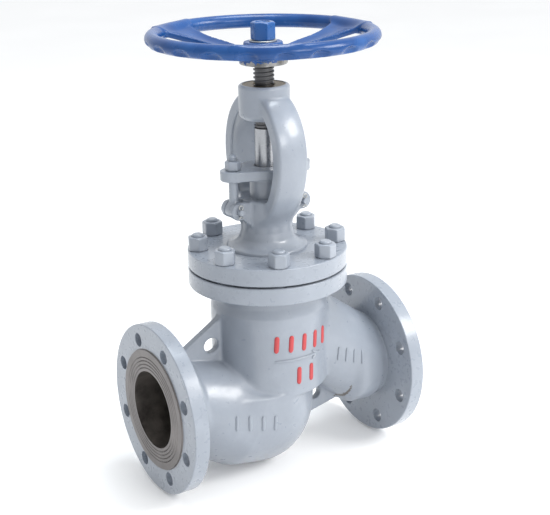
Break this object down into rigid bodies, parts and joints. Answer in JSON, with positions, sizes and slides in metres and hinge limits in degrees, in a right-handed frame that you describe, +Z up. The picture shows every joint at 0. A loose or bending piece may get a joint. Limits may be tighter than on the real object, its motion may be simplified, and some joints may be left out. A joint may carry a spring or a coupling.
{
  "type": "globe valve",
  "caption": "Flanged cast globe valve with a bolted bonnet, outside yoke, packing gland, and a handwheel whose rising stem lifts the disc off its seat.",
  "frame": {"origin": "centre of the inlet port at the inlet flange's raised face", "axes": "+X along the flow from the inlet to the outlet, +Z up along the stem towards the handwheel, +Y completes the right-handed frame"},
  "size_m": [0.35, 0.288, 0.583],
  "materials": {
    "grey_paint": "semi-gloss silver-grey paint over cast steel",
    "painted_fastener": "silver-grey paint over steel fasteners",
    "blue_paint": "gloss blue enamel",
    "stainless_steel": "machined stainless steel",
    "stem_steel": "turned steel with a trace of oil",
    "zinc_steel": "zinc-plated steel",
    "black_steel": "blackened steel",
    "graphite": "matt flexible graphite",
    "bronze": "turned bronze"
  },
  "bodies": {
    "root": {"valve_body": "grey_paint", "seat_ring": "stainless_steel", "bonnet_gasket": "graphite", "bonnet": "grey_paint", "backseat_bushing": "bronze", "bonnet_studs": "painted_fastener", "bonnet_nuts": "painted_fastener", "packing_washer": "stainless_steel", "packing_rings": "graphite", "eye_bolt_inlet": "painted_fastener", "eye_bolt_outlet": "painted_fastener", "eye_bolt_pins": "painted_fastener", "cotter_pins": "zinc_steel", "yoke_nut": "bronze", "yoke_nut_screws": "black_steel"},
    "gland": {"gland_follower": "grey_paint", "gland_flange": "grey_paint"},
    "gland_nut_inlet": {"gland_nut_inlet": "painted_fastener"},
    "gland_nut_outlet": {"gland_nut_outlet": "painted_fastener"},
    "disc_assembly": {"disc": "stainless_steel", "disc_cover": "stainless_steel", "thrust_ring": "stainless_steel"},
    "spindle": {"stem": "stem_steel", "handwheel": "blue_paint", "handwheel_washer": "zinc_steel", "handwheel_nut": "blue_paint"}
  },
  "joints": [
    {"name": "disc_lift", "type": "slide", "parent": "root", "child": "disc_assembly", "axis": [0, 0, 1], "range_m": [0, 0.025]},
    {"name": "handwheel_turn", "type": "hinge", "parent": "disc_assembly", "child": "spindle", "pos_m": [0.175, 0, 0.2], "axis": [0, 0, 1], "range_deg": [0, 1800]},
    {"name": "gland_travel", "type": "slide", "parent": "root", "child": "gland", "axis": [0, 0, 1], "range_m": [0, 0.00525]},
    {"name": "gland_nut_inlet_turn", "type": "hinge", "parent": "gland", "child": "gland_nut_inlet", "pos_m": [0.1275, 0, 0.298], "axis": [0, 0, 1], "range_deg": [0, 1080]},
    {"name": "gland_nut_outlet_turn", "type": "hinge", "parent": "gland", "child": "gland_nut_outlet", "pos_m": [0.2225, 0, 0.298], "axis": [0, 0, 1], "range_deg": [0, 1080]}
  ],
  "couplings": [
    {"joint": "disc_lift", "follows": "handwheel_turn", "m_per_rad": 0.00079577},
    {"joint": "gland_nut_inlet_turn", "follows": "gland_travel", "rad_per_m": 3590.4},
    {"joint": "gland_nut_outlet_turn", "follows": "gland_travel", "rad_per_m": 3590.4}
  ]
}
